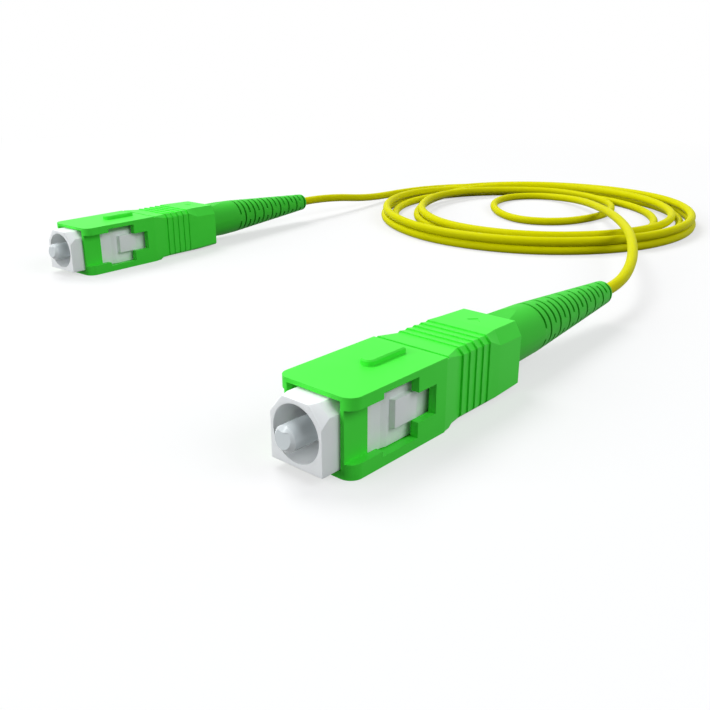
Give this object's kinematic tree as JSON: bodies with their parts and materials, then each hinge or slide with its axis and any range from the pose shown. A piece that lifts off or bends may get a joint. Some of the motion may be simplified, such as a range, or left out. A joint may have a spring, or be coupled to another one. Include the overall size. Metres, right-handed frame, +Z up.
{
  "type": "fibre patch cord",
  "caption": "Simplex fibre patch cord: push-pull connectors with green grips and slotted green boots, joined by a thin yellow cord lying in a loose coil",
  "frame": {"origin": "On the surface that the cord lies on, under the middle of the near grip's front block, where rest_a is.", "axes": "Near connector level, on the Y axis: its ferrule points to -Y and its boot to +Y. +Z is up, away from the surface. +X is to the right of someone who looks from the ferrule to the boot."},
  "size_m": [0.0871, 0.153, 0.0083],
  "materials": {
    "green_housing": "bright green moulded PBT, satin gloss",
    "green_boot": "bright green soft moulded elastomer",
    "white_housing": "white moulded PBT",
    "zirconia": "ground and polished zirconia ceramic",
    "nickel_plated": "nickel-plated turned brass",
    "spring_steel": "drawn stainless spring wire",
    "crimp_metal": "drawn and plated copper alloy",
    "aramid": "yellow aramid fibre yarn",
    "fibre_buffer": "white extruded tight buffer",
    "cord_jacket": "extruded yellow jacket, smooth, low gloss"
  },
  "bodies": {
    "cord_and_frames": {"plug_frame_a": "white_housing", "ferrule_spring_a": "spring_steel", "spring_body_a": "white_housing", "crimp_sleeve_a": "crimp_metal", "aramid_yarn_a": "aramid", "buffered_fibre_a": "fibre_buffer", "cord_jacket_a": "cord_jacket", "boot_a": "green_boot", "plug_frame_b": "white_housing", "ferrule_spring_b": "spring_steel", "spring_body_b": "white_housing", "crimp_sleeve_b": "crimp_metal", "aramid_yarn_b": "aramid", "buffered_fibre_b": "fibre_buffer", "cord_jacket_b": "cord_jacket", "boot_b": "green_boot", "cable_lead_a": "cord_jacket", "cable_coil": "cord_jacket", "cable_lead_b": "cord_jacket"},
    "grip_a": {"grip_a": "green_housing"},
    "ferrule_a": {"ferrule_a": "zirconia", "ferrule_holder_a": "nickel_plated"},
    "grip_b": {"grip_b": "green_housing"},
    "ferrule_b": {"ferrule_b": "zirconia", "ferrule_holder_b": "nickel_plated"}
  },
  "joints": [
    {"name": "grip_slide_a", "type": "slide", "parent": "cord_and_frames", "child": "grip_a", "axis": [0, 1, 0], "range_m": [0, 0.0015]},
    {"name": "ferrule_slide_a", "type": "slide", "parent": "cord_and_frames", "child": "ferrule_a", "axis": [0, 1, 0], "range_m": [0, 0.001], "stiffness_N_per_m": 1000, "springref_m": -0.008, "deforming": ["ferrule_spring_a"]},
    {"name": "grip_slide_b", "type": "slide", "parent": "cord_and_frames", "child": "grip_b", "axis": [-0.0433, 0.9991, 0], "range_m": [0, 0.0015]},
    {"name": "ferrule_slide_b", "type": "slide", "parent": "cord_and_frames", "child": "ferrule_b", "axis": [-0.0433, 0.9991, 0], "range_m": [0, 0.001], "stiffness_N_per_m": 1000, "springref_m": -0.008, "deforming": ["ferrule_spring_b"]}
  ]
}
